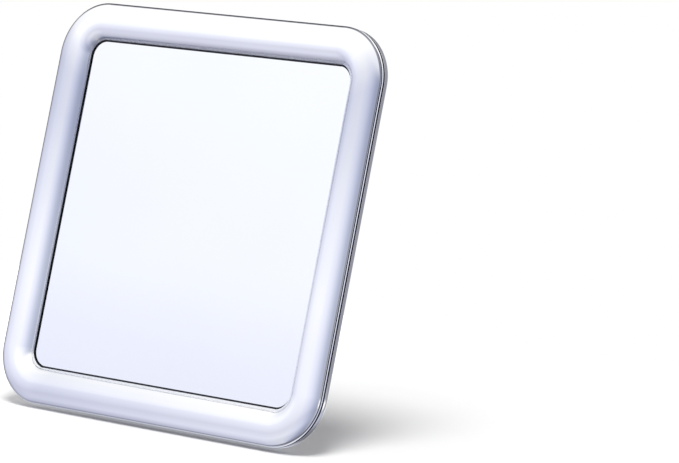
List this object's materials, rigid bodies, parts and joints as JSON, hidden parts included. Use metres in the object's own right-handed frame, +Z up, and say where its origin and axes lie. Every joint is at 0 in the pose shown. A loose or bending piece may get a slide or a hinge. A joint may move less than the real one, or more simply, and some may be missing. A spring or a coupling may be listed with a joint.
{
  "type": "fogless shower mirror",
  "caption": "Square shower wall mirror in a rounded chrome bullnose frame, with a crowned back cover and clear suction cups that turn on their studs.",
  "frame": {"origin": "on the mirror's centre line, in the wall plane that the three sealing lips touch", "axes": "+Z up, +Y into the wall, so the mirror looks along -Y; +X is to the right of someone looking into the mirror"},
  "size_m": [0.203, 0.0229, 0.203],
  "materials": {
    "chrome_plate": "bright chrome plating on moulded plastic",
    "silvered_mirror": "silvered flat mirror",
    "clear_film": "thin clear anti-fog film",
    "foam_pad": "matt closed-cell foam",
    "clear_vinyl": "clear soft vinyl with a faint blue tint",
    "turned_stud": "turned and plated metal",
    "screw_steel": "plain zinc-plated steel"
  },
  "bodies": {
    "mirror_body": {"front_frame": "chrome_plate", "back_cover": "chrome_plate", "mirror_plate": "silvered_mirror", "anti_fog_film": "clear_film", "mirror_pad": "foam_pad", "cup_stud_top_left": "turned_stud", "cup_stud_top_right": "turned_stud", "cup_stud_bottom": "turned_stud", "stud_screw_top_left": "screw_steel", "stud_screw_top_right": "screw_steel", "stud_screw_bottom": "screw_steel"},
    "cup_top_left": {"suction_cup_top_left": "clear_vinyl"},
    "cup_top_right": {"suction_cup_top_right": "clear_vinyl"},
    "cup_bottom": {"suction_cup_bottom": "clear_vinyl"}
  },
  "joints": [
    {"name": "cup_top_left_spin", "type": "hinge", "parent": "mirror_body", "child": "cup_top_left", "pos_m": [-0.0535, -0.0085, 0.051], "axis": [0, 1, 0], "continuous": true},
    {"name": "cup_top_right_spin", "type": "hinge", "parent": "mirror_body", "child": "cup_top_right", "pos_m": [0.0535, -0.0085, 0.051], "axis": [0, 1, 0], "continuous": true},
    {"name": "cup_bottom_spin", "type": "hinge", "parent": "mirror_body", "child": "cup_bottom", "pos_m": [0, -0.0085, -0.055], "axis": [0, 1, 0], "continuous": true}
  ]
}
